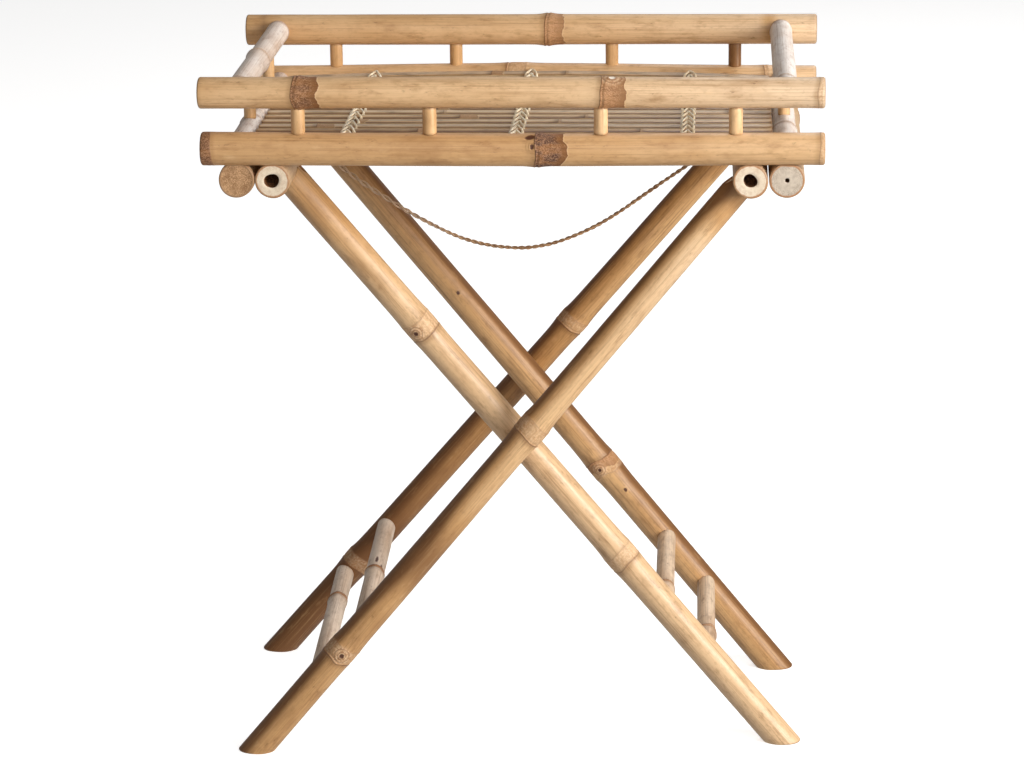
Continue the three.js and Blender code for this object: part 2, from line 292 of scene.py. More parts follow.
def ring_profile(d, ring):
    """How far a joint stands proud of the culm, by the distance beyond its scar in millimetres."""
    broad = 1.15 * np.exp(-(((d - 0.5 * ring.band) / (6 + 0.65 * ring.band)) ** 2))
    scar = 0.28 * np.exp(-((d / 0.9) ** 2))
    groove = -0.3 * np.exp(-(((d - 2.2) / 1.3) ** 2))
    ridge = 0.3 * np.exp(-(((d - ring.band) / 2.2) ** 2))
    return (broad + scar + groove + ridge) * ring.swell * MM


def stations_along(length, rings, ends, dense):
    """Where the culm has a ring of vertices: evenly, and closer at its joints, ends and notches."""
    spots = [np.linspace(0, length, max(int(length / (6 * MM)), 6) + 1)]
    for ring in rings:
        spots += [ring.at + RING_STEPS * ring.way, ring.at + (BAND_STEPS + ring.band * MM) * ring.way]
        spots += [ring.at + (bud.beyond + np.arange(-8, 8.1, 1.0)) * MM * ring.way for bud in ring.buds]
    spots += [EDGE_STEPS * ends[0].edge, length - EDGE_STEPS * ends[1].edge]
    spots += [np.arange(low, high, 1.2 * MM) for low, high in dense]
    spots = np.unique(np.concatenate(spots))
    spots = spots[(spots >= 0) & (spots <= length)]
    kept = [spots[0]]
    for spot in spots[1:]:
        if spot - kept[-1] > 0.12 * MM:
            kept.append(spot)
    kept[-1] = length
    return np.array(kept)


class End:
    """How a culm ends: the shape it is cut to, its rounded edge, and its bore (0 is a closed end)."""

    def __init__(self, reach=flat_end, edge=0.4 * MM, bore=0.0, depth=0.0, sunk=0.0, wall=0.0, turn=0.0):
        self.reach, self.edge, self.bore, self.depth = reach, edge, bore, depth
        self.sunk, self.wall, self.turn = sunk, wall, turn


def fitted_ends(first, second, edge):
    """Two ends shaped to the skins of two poles, with their edges rounded over so many millimetres."""
    return End(fitted_to(Pole(first)), edge * MM), End(fitted_to(Pole(second)), edge * MM)


def waviness(rng, angle, along, length):
    """Low bumps and flats that keep a culm from being a perfect cylinder."""
    total = np.zeros(np.broadcast(angle, along).shape)
    for turns, size in ((2, 0.012), (3, 0.007), (4, 0.004)):
        phase, drift = rng.uniform(0, 2 * math.pi), rng.uniform(-1.5, 1.5)
        total = total + size * np.cos(turns * angle + phase + drift * along / 0.3)
    for waves in (3, 7, 13):
        phase = rng.uniform(0, 2 * math.pi)
        total = total + 0.006 / math.sqrt(waves) * np.sin(waves * math.pi * along / length + phase)
    return total


def cap_rings(end, radius):
    """Rings of a cut end, from its edge inwards: radius, depth into the pole, material, how far off round."""
    if end.bore:
        steps = [(radius * 0.97, 0, CUT, 0), (end.bore * 1.5, 0, CUT, 0.4), (end.bore * 1.06, 0, CUT, 1)]
        steps += [(end.bore, 0.5 * MM, CUT, 1), (end.bore * 0.97, end.depth * 0.3, BORE, 1)]
        steps += [(end.bore * 0.95, end.depth, BORE, 0.6), (end.bore * 0.4, end.depth + 1 * MM, BORE, 0)]
    elif end.sunk:
        inner = radius - end.wall
        steps = [(radius * 0.98, 0, SKIN, 0), (inner + 0.3 * MM, 0, CUT, 0), (inner, 0.5 * end.sunk, CUT, 0)]
        steps += [(inner - 0.6 * MM, end.sunk, BORE, 0), (inner * 0.5, end.sunk * 0.8, BORE, 0)]
    else:
        steps = [(radius * 0.9, 0, CUT, 0), (radius * 0.5, 0, CUT, 0)]
    return steps


def bud_relief(bud, across, rise, facing):
    """A low swelling with a dimple and two rims, where a branch was cut off."""
    out = np.hypot(across, rise) / bud.size
    rims = 0.30 * np.cos(out * 2.4) * np.exp(-((out / 5.5) ** 2))
    mound = 1.0 * np.exp(-((out / 4.6) ** 2)) - 0.8 * np.exp(-((out / 1.5) ** 2))
    return np.where(facing > 0, mound + rims, 0) * MM * min(bud.size, 1.2)


def culm(name, node, body, slot, looks, rings, ends, tone, seed, sides, bow=0, notches=(), taper=(1, 1), dips=(),
         brown_and_shaded_side=None):
    """A bamboo pole round a CAD pole. bow is how far its middle is raised, in millimetres.

    dips are darker stretches of skin, some stains and some painted shade near joints and under bars: where, how wide
    and how dark. The last argument is a darker side, painted shade on an upper side and partly browner skin: its way
    and how dark.
    """
    pole = Pole(node)
    rng = np.random.default_rng(seed)
    axis, length = pole.axis, pole.length
    first, second = sides_of(axis)
    dense = [(spot - NOTCH_REACH, spot + NOTCH_REACH) for spot, _ in notches]
    stations = stations_along(length, rings, ends, dense)
    angle = np.linspace(0, 2 * math.pi, sides, endpoint=False)[None, :]
    s = stations[:, None]
    share = s / length
    radius = (pole.radii[0] * taper[0]) * (1 - share) + (pole.radii[1] * taper[1]) * share
    radius = radius * (1 + waviness(rng, angle, s, length))
    plain = radius.copy()
    beyond = np.full(radius.shape, NO_RING)
    patch = np.zeros(radius.shape)
    band = np.full(radius.shape, 5.0)
    scar = np.zeros(radius.shape + (3,))
    scar[..., 1] = NO_BUD
    joint = np.zeros(radius.shape + (3,))
    for ring in rings:
        distance = (s - ring.at) * ring.way
        turns = rng.uniform(0, 2 * math.pi, 5)
        sway = sum(size * np.cos(k * angle + turns[k]) for k, size in ((1, 1.1), (2, 0.7), (3, 0.5), (4, 0.35)))
        bud_turns = [math.atan2(bud.facing @ second, bud.facing @ first) for bud in ring.buds]
        for bud, turn in zip(ring.buds, bud_turns):
            pulled = 0.35 * bud.beyond * (bud.ink == 1)
            sway = sway + pulled * np.exp(-((np.sin(angle - turn) * 16 / 7) ** 2)) * (np.cos(angle - turn) > 0)
        near = distance / MM + sway
        uneven = 1 + 0.3 * np.cos(2 * angle + turns[0]) + 0.15 * np.cos(5 * angle + turns[1])
        radius = radius + ring_profile(near, ring) * uneven
        closer = np.abs(near) < np.abs(beyond)
        beyond = np.where(closer, near, beyond)
        patch = np.where(closer, ring.patch, patch)
        band = np.where(closer, ring.band, band)
        joint = np.where(closer[..., None], (ring.ink, ring.shade, 0), joint)
        for bud, turn in zip(ring.buds, bud_turns):
            across = plain * np.sin(angle - turn) / MM
            facing = np.cos(angle - turn) + 0 * s
            rise = (distance / MM - bud.beyond) / bud.stretch + 0 * across
            radius = radius + bud_relief(bud, across, rise, facing)
            value = np.stack((np.abs(across) / bud.size, rise / bud.size, facing * bud.ink), axis=-1)
            value[facing < 0.1] = (30, NO_BUD, 0)
            here = np.hypot(value[..., 0], value[..., 1]) < np.hypot(scar[..., 0], scar[..., 1])
            scar = np.where(here[..., None], value, scar)
    for end, from_end in ((ends[0], s), (ends[1], length - s)):
        inside = np.clip(1 - from_end / max(end.edge, 1e-9), 0, 1)
        radius = radius - end.edge * (1 - np.sqrt(1 - inside**2))
    bend = bow * MM * np.sin(math.pi * share) ** 2
    centre = pole.at(0) + s[..., None] * axis + bend[..., None] * first
    around = np.cos(angle)[..., None] * first + np.sin(angle)[..., None] * second
    points = centre + radius[..., None] * around

    start_reach = ends[0].reach(pole.at(0) + radius[0][:, None] * around[0], axis)
    end_reach = ends[1].reach(pole.at(length) + radius[-1][:, None] * around[0], -axis)
    span = min(END_REACH, length / 2)
    start_share = np.clip(1 - stations / span, 0, 1)[:, None]
    end_share = np.clip(1 - (length - stations) / span, 0, 1)[:, None]
    points = points + (start_reach * start_share - end_reach * end_share)[..., None] * axis
    turned = (radius * np.cos(angle), radius * np.sin(angle), np.broadcast_to(s + seed * 1.37, radius.shape))
    grain = np.stack(turned, axis=-1)

    for _, (centre_line, line_axis, reach) in notches:
        offset = points - centre_line
        offset = offset - (offset @ line_axis)[..., None] * line_axis
        gap = np.linalg.norm(offset, axis=-1)
        push = np.maximum(reach - gap, 0)
        points = points + offset / np.maximum(gap, 1e-9)[..., None] * push[..., None]

    swing = math.pi * np.clip(beyond, -FAR, FAR) / FAR
    mark = np.stack((np.cos(swing), np.sin(swing), patch), axis=-1)
    from_end = np.minimum(s, length - s) / MM
    shade = tone[0] + (tone[1] - tone[0]) * share
    # Dips darken stretches of skin: some are stains, some are painted shade near joints and under bars.
    shade = shade - sum(deep * np.exp(-(((s - at) / wide) ** 2)) for at, wide, deep in dips)
    # Painted shade on an upper side of the pole, partly browner skin.
    if brown_and_shaded_side:
        way, deep = brown_and_shaded_side
        side_turn = math.atan2(np.dot(way, second), np.dot(way, first))
        shade = shade - deep * np.clip(np.cos(angle - side_turn) + 0.1, 0, 1) ** 2
    trait = np.stack((band, from_end + 0 * band, shade + 0 * band), axis=-1)
    skin = Skin(name, looks)
    skin.tube(points, grain, mark, trait, scar, joint)
    for end, row, inward in ((ends[0], 0, axis), (ends[1], -1, -axis)):
        middle = points[row].mean(axis=0)
        steps = cap_rings(end, radius[row].mean())
        skin.cap(points[row], grain[row], middle, steps, inward, trait[row][0][2], end.turn, row == 0)
    skin.finish(body, slot, node)


def make_piece(name, points, faces, materials, layers):
    """A smooth mesh with one vector per point in each of its layers."""
    mesh = bpy.data.meshes.new(name)
    mesh.from_pydata(np.concatenate(points).tolist(), [], faces)
    for material in materials:
        mesh.materials.append(material)
    mesh.polygons.foreach_set("use_smooth", [True] * len(faces))
    for label, values in layers.items():
        layer = mesh.attributes.new(label, "FLOAT_VECTOR", "POINT")
        layer.data.foreach_set("vector", np.concatenate(values).astype(np.float32).ravel())
    piece = bpy.data.objects.new(name, mesh)
    bpy.context.collection.objects.link(piece)
    return piece


class Skin:
    """Gathers the rings of one pole into a mesh with the values that its materials read."""

    LAYERS = ("grain", "mark", "trait", "bud", "joint")

    def __init__(self, name, looks):
        self.name, self.looks = name, looks
        self.points, self.faces, self.kinds, self.count = [], [], [], 0
        self.values = {layer: [] for layer in self.LAYERS}

    def add_ring(self, points, grain, mark, trait, bud, joint=(0.5, 0.5, 0)):
        """Adds one ring of points with its values, and returns the number of its first point."""
        start = self.count
        self.points.append(points)
        for layer, value in zip(self.LAYERS, (grain, mark, trait, bud, joint)):
            self.values[layer].append(np.broadcast_to(value, points.shape))
        self.count += len(points)
        return start

    def bridge(self, low, high, count, kind, flip=False):
        """Joins two rings by faces."""
        for i in range(count):
            j = (i + 1) % count
            face = (low + i, low + j, high + j, high + i)
            self.faces.append(face[::-1] if flip else face)
            self.kinds.append(kind)

    def tube(self, points, grain, mark, trait, scar, joint):
        """Adds the rings of a whole pole, joined one to the next."""
        self.sides = points.shape[1]
        for row in range(len(points)):
            start = self.add_ring(points[row], grain[row], mark[row], trait[row], scar[row], joint[row])
            if row:
                self.bridge(start - self.sides, start, self.sides, SKIN)
        self.last = start

    def cap(self, rim, grain, middle, steps, inward, tone, turn, flip):
        """Closes one end with the rings of its steps and a fan of faces in the middle."""
        previous = 0 if flip else self.last
        rim_radius = np.linalg.norm(rim - middle, axis=1).mean()
        angle = np.arctan2(grain[:, 1], grain[:, 0]) + turn
        off_round = 0.09 * np.cos(angle) + 0.06 * np.cos(2 * angle + 1) + 0.035 * np.cos(3 * angle)
        plain = ((-1, 0, 0), (5, 0, tone))
        for size, depth, kind, wobble in steps:
            share = (size / rim_radius * (1 + wobble * off_round))[:, None]
            points = middle + (rim - middle) * share + inward * depth
            flat_grain = grain * np.hstack((share, share, share**0)) + (0, 0, depth)
            start = self.add_ring(points, flat_grain, *plain, (rim_radius / MM, depth / MM, 0))
            self.bridge(previous, start, self.sides, kind, flip)
            previous = start
        _, depth, kind, _ = steps[-1]
        centre = (middle + inward * depth)[None]
        hub = self.add_ring(centre, grain[:1] * (0, 0, 1), *plain, (rim_radius / MM, depth / MM, 0))
        for i in range(self.sides):
            face = (previous + i, previous + (i + 1) % self.sides, hub)
            self.faces.append(face[::-1] if flip else face)
            self.kinds.append(kind)

    def finish(self, body, slot, node):
        piece = make_piece(self.name, self.points, self.faces, self.looks, self.values)
        piece.data.polygons.foreach_set("material_index", self.kinds)
        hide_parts(node)
        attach(piece, body)


# ---- Materials ----


def rgb(red, green, blue):
    """A linear colour from sRGB values of 0 to 255."""
    values = [c / 255 for c in (red, green, blue)]
    return (*[c / 12.92 if c <= 0.04045 else ((c + 0.055) / 1.055) ** 2.4 for c in values], 1)


class Value:
    """A number in a material's node tree, to add to, take from, multiply or divide."""

    def __init__(self, look, socket):
        self.look, self.socket = look, socket

    def __add__(self, other):
        return self.look.math("ADD", self, other)

    def __sub__(self, other):
        return self.look.math("SUBTRACT", self, other)

    def __mul__(self, other):
        return self.look.math("MULTIPLY", self, other)

    def __truediv__(self, other):
        return self.look.math("DIVIDE", self, other)

    def __abs__(self):
        return self.look.math("ABSOLUTE", self)


class Look:
    """A procedural material, with short calls for the nodes that these materials use."""

    def __init__(self, name, **sockets):
        self.material = bpy.data.materials.new(name)
        self.material.use_nodes = True
        self.tree = self.material.node_tree
        self.surface = self.tree.nodes["Principled BSDF"]
        self.colour = None
        self.use(**sockets)

    def use(self, **sockets):
        for socket, value in sockets.items():
            self.put(self.surface.inputs[socket.replace("_", " ")], value)
        return self.material

    def put(self, socket, value):
        if isinstance(value, Value):
            value = value.socket
        if isinstance(value, bpy.types.NodeSocket):
            self.tree.links.new(value, socket)
        else:
            socket.default_value = value

    def node(self, kind, *inputs, **settings):
        node = self.tree.nodes.new("ShaderNode" + kind)
        for setting, value in settings.items():
            setattr(node, setting, value)
        for index, value in enumerate(inputs):
            self.put(node.inputs[index], value)
        return node

    def attribute(self, name):
        return self.node("Attribute", attribute_name=name).outputs["Vector"]

    def split(self, vector):
        return [Value(self, part) for part in self.node("SeparateXYZ", vector).outputs]

    def math(self, operation, *inputs):
        return Value(self, self.node("Math", *inputs, operation=operation).outputs[0])

    def scaled(self, vector, scale):
        return self.node("VectorMath", vector, scale, operation="MULTIPLY").outputs[0]

    def noise(self, vector, scale, detail, roughness):
        node = self.node("TexNoise")
        settings = {"Vector": self.scaled(vector, scale), "Scale": 1.0, "Detail": detail, "Roughness": roughness}
        for socket, value in settings.items():
            self.put(node.inputs[socket], value)
        return Value(self, node.outputs["Fac"])

    def span(self, value, low, high, to_low=0.0, to_high=1.0):
        """A value between two bounds, spread smoothly over two others."""
        node = self.node("MapRange", value, low, high, to_low, to_high, interpolation_type="SMOOTHSTEP")
        return Value(self, node.outputs[0])

    def mix(self, share, a, b):
        node = self.node("Mix", data_type="RGBA")
        for index, value in ((0, share), (6, a), (7, b)):
            self.put(node.inputs[index], value)
        return node.outputs[2]

    def paint(self, share, tint):
        """Lays a tint over the colour so far."""
        self.colour = self.mix(share, self.colour, tint)

    def finish(self, rough, height, distance, strength):
        """Uses the colour so far, with a roughness and a bump that is at most a distance high."""
        bump = self.node("Bump")
        for socket, value in (("Strength", strength), ("Distance", distance), ("Height", height)):
            self.put(bump.inputs[socket], value)
        return self.use(Base_Color=self.colour, Roughness=rough, Normal=bump.outputs[0])


def bamboo_skin(name, light, dark, deep, roughness=0.45, gloss=0.1, streaks=1.0, specks=1.0):
    """Waxy culm skin: fibres along the pole, stains, scarred joints, bud eyes and brown sheath patches."""
    look = Look(name, Coat_Weight=gloss, Coat_Roughness=0.36)
    grain = look.attribute("grain")
    span, mix, paint = look.span, look.mix, look.paint

    def noise(*settings):
        return look.noise(grain, *settings)

    turn_x, turn_y, patch = look.split(look.attribute("mark"))
    band, from_end, tone = look.split(look.attribute("trait"))
    bud_across, bud_rise, bud_facing = look.split(look.attribute("bud"))
    ring_ink, patch_shade, _ = look.split(look.attribute("joint"))
    broad = noise((24, 24, 6), 2.5, 0.55)
    cloud = noise((38, 38, 17), 3, 0.6)
    fibre = noise((520, 520, 7), 4, 0.65)
    fine = noise((1700, 1700, 22), 2, 0.6)
    stain = noise((120, 120, 34), 4, 0.65)
    mottle = noise((260, 260, 130), 3, 0.6)
    speck = noise((480, 480, 170), 2, 0.5)
    wander = noise((85, 85, 60), 2, 0.6)

    # The plain skin, from its broad tone down to its specks, and darker at its ends as painted shade.
    # The tone also carries painted shade from the culm's dips and from its darker side.
    look.colour = mix(span(broad + (tone - 0.5), 0.28, 0.74), dark, light)
    paint(span(tone, 0.6, 1.1, 0, 0.8), rgb(242, 220, 192))
    paint(span(tone, 0.25, -0.45, 0, 0.92), rgb(108, 66, 28))
    paint(span(fibre, 0.47, 0.75, 0, 0.55 * streaks), deep)
    paint(span(fibre, 0.46, 0.24, 0, 0.35 * streaks), light)
    paint(span(fine, 0.52, 0.8, 0, 0.36 * streaks), deep)
    paint(span(stain, 0.5, 0.78, 0, 0.6), deep)
    paint(span(stain, 0.45, 0.22, 0, 0.4), light)
    paint(span(mottle, 0.5, 0.7, 0, 0.2), deep)
    paint(span(cloud, 0.5, 0.72, 0, 0.36), deep)
    paint(span(speck, 0.62, 0.74, 0, 0.5 * specks) * span(stain, 0.45, 0.62, 0.1, 1), rgb(120, 80, 48))
    # Painted shade: darker within a few millimetres of each end, standing for the shade where poles meet.
    paint(span(from_end, 2.6, 0.1, 0, 0.55), rgb(132, 90, 54))

    # A joint: a knotty band between two ragged lines. Distances beyond it are in millimetres.
    beyond = look.math("ARCTAN2", turn_y, turn_x) / (math.pi / FAR) + (wander - 0.5) * 2.2
    from_band = beyond - band
    inked = span(ring_ink, 0, 0.3)
    in_band = span(beyond, -0.6, 0.6) * span(from_band, 1.8, -0.8) * inked
    crumbs = noise((420, 420, 340), 4, 0.75)
    wrinkles = noise((150, 150, 620), 3, 0.65)
    knotty = mix(span(crumbs, 0.4, 0.6), rgb(190, 142, 100), rgb(236, 204, 166))
    knotty = mix(span(wrinkles, 0.5, 0.7, 0, 0.6), knotty, rgb(160, 114, 76))
    paint(in_band * 0.42, knotty)
    ragged = span(crumbs, 0.3, 0.55, 0.3, 1) * ring_ink
    paint(span(abs(beyond + 1.5), 6, 0, 0, 0.4) * inked, deep)
    paint(span(abs(beyond), 1.1, 0.25) * ragged, rgb(112, 72, 42))
    paint(span(abs(from_band), 1.3, 0.3, 0, 0.5) * ragged, rgb(134, 92, 58))

    # A sheath patch: brown, with a toothed far edge, frayed and murky inside, and a pale line round it.
    lobes = noise((42, 42, 3), 1, 0.5)
    teeth = noise((120, 120, 5), 1, 0.5)
    nicks = noise((700, 700, 60), 2, 0.6)
    inside = patch * span(lobes, 0.3, 0.7, 0.84, 1.12) + (teeth - 0.5) * 7 + (nicks - 0.5) * 1.4 - beyond
    in_patch = span(inside, -0.25, 0.25) * span(beyond, -0.3, 0.5) * span(patch, 0.5, 2)
    squiggle = abs(noise((460, 460, 330), 2.5, 0.6) - 0.5)
    frayed = span(squiggle, 0.055, 0.015) * span(inside, 3, 9)
    murky = span(stain, 0.34, 0.56) * span(inside, 4, 12)
    leafy = mix(span(patch_shade, 0.1, 0.9), rgb(176, 124, 78), rgb(142, 94, 50))
    leafy = mix(span(stain, 0.35, 0.7, 0, 0.6), leafy, rgb(132, 86, 46))
    leafy = mix(span(fibre, 0.42, 0.68, 0, 0.5), leafy, rgb(100, 60, 30))
    leafy = mix(murky * span(patch_shade, 0.6, 1), leafy, rgb(84, 54, 40))
    leafy = mix(frayed * span(patch_shade, 0.1, 1, 0.75, 0.5), leafy, rgb(206, 156, 116))
    leafy = mix(span(inside, 2.4, 0.2) * 0.3, leafy, rgb(100, 60, 30))
    paint(span(inside, -1.8, -0.4) * span(patch, 0.5, 2, 0, 0.5) * span(beyond, 0, 2), light)
    cover = span(crumbs, 0.58, 0.7, 1, 0.6) * span(patch_shade, 0, 0.6, 0.6, 1)
    paint(in_patch * cover, leafy)

    # A bud scar: rims round a dark eye, one dark spot, or a pale middle, as its ink says.
    out = look.math("SQRT", bud_across * bud_across + bud_rise * bud_rise) + (crumbs - 0.5) * 2.2
    pale = span(bud_facing, -0.1, -0.5)
    ink = look.math("MAXIMUM", span(bud_facing, 0.1, 0.5), pale)
    rimmed = ink * span(bud_facing, 1.6, 1.2)
    rims = span(look.math("SINE", out * 2.5), -0.1, 0.8) * span(out, 8.5, 5.5)
    paint(span(out, 9, 6) * rimmed * 0.6, knotty)
    paint(rims * rimmed * 0.6, rgb(140, 96, 60))
    paint(span(out, 2.5, 1.5) * ink, rgb(84, 48, 28))
    paint(span(out, 2.2, 1.6) * pale, rgb(246, 234, 218))

    worn = look.math("MAXIMUM", in_patch, in_band)
    rough = fibre * 0.2 + (roughness - 0.1) + worn * 0.28
    height = fibre * 0.6 + fine * 0.25 + worn * (crumbs + wrinkles) * 1.3 + in_patch * 1.2
    return look.finish(rough, height, 0.16 * MM, 0.9)


def bamboo_cut(name, light, dark, rim_colour, fibres=0.35):
    """A sawn end: cream wood with darker fibre ends crowding towards the skin, and a thin brown rim."""
    look = Look(name)
    grain = look.attribute("grain")
    rim, _, _ = look.split(look.attribute("bud"))
    x, y, _ = look.split(grain)
    out = look.math("SQRT", x * x + y * y) / (rim * MM)
    dots = look.node("TexVoronoi", feature="F1")
    look.put(dots.inputs["Vector"], look.scaled(grain, (1300, 1300, 60)))
    dots.inputs["Scale"].default_value = 1.0
    gap = Value(look, dots.outputs["Distance"])
    dot = look.math("LESS_THAN", gap, look.span(out, 0.3, 1.0, 0.16, 0.4))
    blot = look.noise(grain, (220, 220, 80), 3, 0.6)
    look.colour = look.mix(look.span(blot, 0.35, 0.75, 0, 0.35), light, dark)
    look.paint(dot * fibres, dark)
    look.paint(look.span(out + blot * 0.06, 0.93, 0.99, 0, 0.85), rim_colour)
    return look.finish(blot * 0.2 + 0.65, blot * 0.6 + gap, 0.2 * MM, 0.7)


def bamboo_inside(name, light, dark):
    """The pith inside a bore, or the cork-like face of a closed joint."""
    look = Look(name)
    grain = look.attribute("grain")
    flecks = look.noise(grain, (900, 900, 300), 3, 0.7)
    blot = look.noise(grain, (170, 170, 60), 3, 0.7)
    look.colour = look.mix(look.span(flecks, 0.3, 0.7), dark, light)
    look.paint(look.span(blot, 0.45, 0.62) * 0.6, dark)
    return look.finish(blot * 0.1 + 0.8, flecks, 0.25 * MM, 0.8)


def twine(name, light, dark, strand_scale, faded=None):
    """Plant-fibre cord: paler and darker fibres along each strand, faded up to a place along it."""
    look = Look(name, Sheen_Weight=0.25, Sheen_Roughness=0.5)
    grain = look.attribute("grain")
    fibre = look.noise(grain, (strand_scale, strand_scale, 60), 3, 0.7)
    blot = look.noise(grain, (60, 60, 40), 2, 0.6)
    look.colour = look.mix(look.span(fibre, 0.35, 0.68), dark, light)
    look.paint(look.span(blot, 0.45, 0.75) * 0.45, dark)
    if faded:
        _, _, along = look.split(grain)
        look.paint(look.span(along, *faded, 0.3, 0), rgb(250, 228, 200))
    return look.finish(fibre * 0.1 + 0.82, fibre, 0.2 * MM, 0.9)


def turned_wood():
    """Plain bamboo for the CAD pins and spacers, which carry no grain values."""
    look = Look("turned_bamboo")
    fibre = look.noise(look.node("TexCoord").outputs["Object"], (500, 40, 500), 3, 0.6)
    look.colour = look.mix(look.span(fibre, 0.35, 0.7), rgb(196, 150, 100), rgb(150, 106, 66))
    return look.finish(fibre * 0.1 + 0.5, fibre, 0.1 * MM, 0.8)


def culm_looks(*skin, **finish):
    """The looks of a culm: its skin, its cut ends, and the closed joint inside."""
    return bamboo_skin(*skin, **finish), CUT_LOOK, CORK_LOOK


RIM = rgb(170, 112, 62)
CUT_LOOK = bamboo_cut("bamboo_cut_end", rgb(232, 216, 192), rgb(182, 140, 98), RIM)
GREY_CUT_LOOK = bamboo_cut("bamboo_fibrous_end", rgb(206, 192, 174), rgb(124, 102, 82), RIM, 0.8)
SPLIT_LOOK = bamboo_cut("bamboo_split_edge", rgb(204, 172, 132), rgb(122, 90, 58), rgb(240, 224, 198))
CORK_LOOK = bamboo_inside("bamboo_closed_joint", rgb(218, 176, 132), rgb(138, 98, 62))
BORE_LOOK = bamboo_inside("bamboo_bore", rgb(150, 96, 48), rgb(50, 28, 14))
# Each skin's light, dark and deep colours, roughness, gloss, streaks and specks.
POLE_LOOKS = culm_looks("bamboo_rail", rgb(228, 190, 144), rgb(206, 162, 112), rgb(160, 114, 68), gloss=0.05)
LEG_LOOKS = culm_looks("bamboo_leg", rgb(226, 186, 138), rgb(198, 152, 100), rgb(146, 102, 60), 0.42, 0.13, 1.1)
BAR_LOOK = bamboo_skin("bamboo_bar", rgb(226, 196, 158), rgb(204, 168, 126), rgb(150, 110, 72))
BAR_LOOKS = (BAR_LOOK, CUT_LOOK, BORE_LOOK)
PALE_LOOKS = culm_looks(
    "bamboo_pale", rgb(255, 248, 242), rgb(226, 204, 186), rgb(172, 138, 112), 0.5, 0.05, specks=1.4
)
WORN_LOOKS = culm_looks(
    "bamboo_weathered", rgb(228, 210, 192), rgb(200, 174, 148), rgb(142, 108, 80), 0.5, 0.05, specks=1.6
)
TAN_LOOKS = culm_looks("bamboo_tan", rgb(232, 206, 176), rgb(198, 160, 124), rgb(134, 98, 68), 0.5, 0.05, specks=1.4)
DARK_LOOKS = culm_looks("bamboo_dark", rgb(212, 168, 116), rgb(184, 136, 82), rgb(120, 78, 40), 0.46, 0.07, 1.3)
PEG_LOOKS = culm_looks("bamboo_peg", rgb(238, 198, 148), rgb(214, 168, 114), rgb(164, 118, 70))
SLAT_LOOK = bamboo_skin("bamboo_slat", rgb(236, 198, 146), rgb(184, 142, 94), rgb(104, 72, 42), 0.42, 0.1, 1.6)
RAFFIA_LOOK = twine("raffia", rgb(255, 250, 232), rgb(255, 232, 192), 700)
JUTE_LOOK = twine("jute", rgb(214, 172, 128), rgb(122, 82, 48), 1500, faded=(0.12, 0.26))


# ---- Rope ----

# The rope's route from the hole in one top bar to the hole in the other, at y = 0: x, z.
ROPE_ROUTE = [
    (-0.24, 0.647), (-0.234, 0.647), (-0.228, 0.6464), (-0.221, 0.6424), (-0.212, 0.634), (-0.2014, 0.6242),
    (-0.179, 0.6064), (-0.155, 0.5898), (-0.1278, 0.5723), (-0.098, 0.5556), (-0.0679, 0.5414), (-0.036, 0.5326),
    (-0.002, 0.5296), (0.022, 0.5322), (0.042, 0.5374), (0.065, 0.5466), (0.086, 0.5572), (0.108, 0.571),
    (0.1297, 0.5864), (0.153, 0.6029), (0.171, 0.6153), (0.1875, 0.6266), (0.205, 0.6374), (0.217, 0.6434),
    (0.228, 0.6465), (0.234, 0.647), (0.24, 0.647),
]


def smooth_line(points, spacing):
    """Points a given distance apart on a smooth curve through the given ones."""
    points = np.array(points, float)
    reach = np.vstack((2 * points[0] - points[1], points, 2 * points[-1] - points[-2]))
    t = np.linspace(0, 1, 12, endpoint=False)[:, None]
    line = []
    for a, b, c, d in zip(reach, reach[1:], reach[2:], reach[3:]):
        line.append(0.5 * (2 * b + (c - a) * t + (2 * a - 5 * b + 4 * c - d) * t**2 + (3 * b - a - 3 * c + d) * t**3))
    line = np.vstack((*line, points[-1:]))
    run = np.r_[0, np.cumsum(np.linalg.norm(np.diff(line, axis=0), axis=1))]
    spots = np.linspace(0, run[-1], max(int(run[-1] / spacing), 4) + 1)
    return np.stack([np.interp(spots, run, line[:, k]) for k in range(3)], axis=1), spots


def frames_along(line):
    """Two directions square to a line at each of its points, without sudden turns."""
    along = np.gradient(line, axis=0)
    along /= np.linalg.norm(along, axis=1)[:, None]
    first = np.zeros_like(line)
    guess = np.array((0, 1.0, 0)) if abs(along[0][1]) < 0.8 else np.array((0, 0, 1.0))
    for i, direction in enumerate(along):
        guess = guess - (guess @ direction) * direction
        guess = guess / np.linalg.norm(guess)
        first[i] = guess
    return first, np.cross(along, first)


def tube_rings(line, spots, thickness, sides, flat):
    """Rings of a cord along a line, with the grain values that its material reads."""
    first, second = frames_along(line)
    angle = np.linspace(0, 2 * math.pi, sides, endpoint=False)[None, :, None]
    size = np.broadcast_to(thickness, spots.shape)[:, None, None]
    points = line[:, None] + size * (np.cos(angle) * first[:, None] + flat * np.sin(angle) * second[:, None])
    run = np.broadcast_to(spots[:, None, None], (len(line), sides, 1))
    return points, np.concatenate((size * np.cos(angle), size * np.sin(angle), run), axis=2)


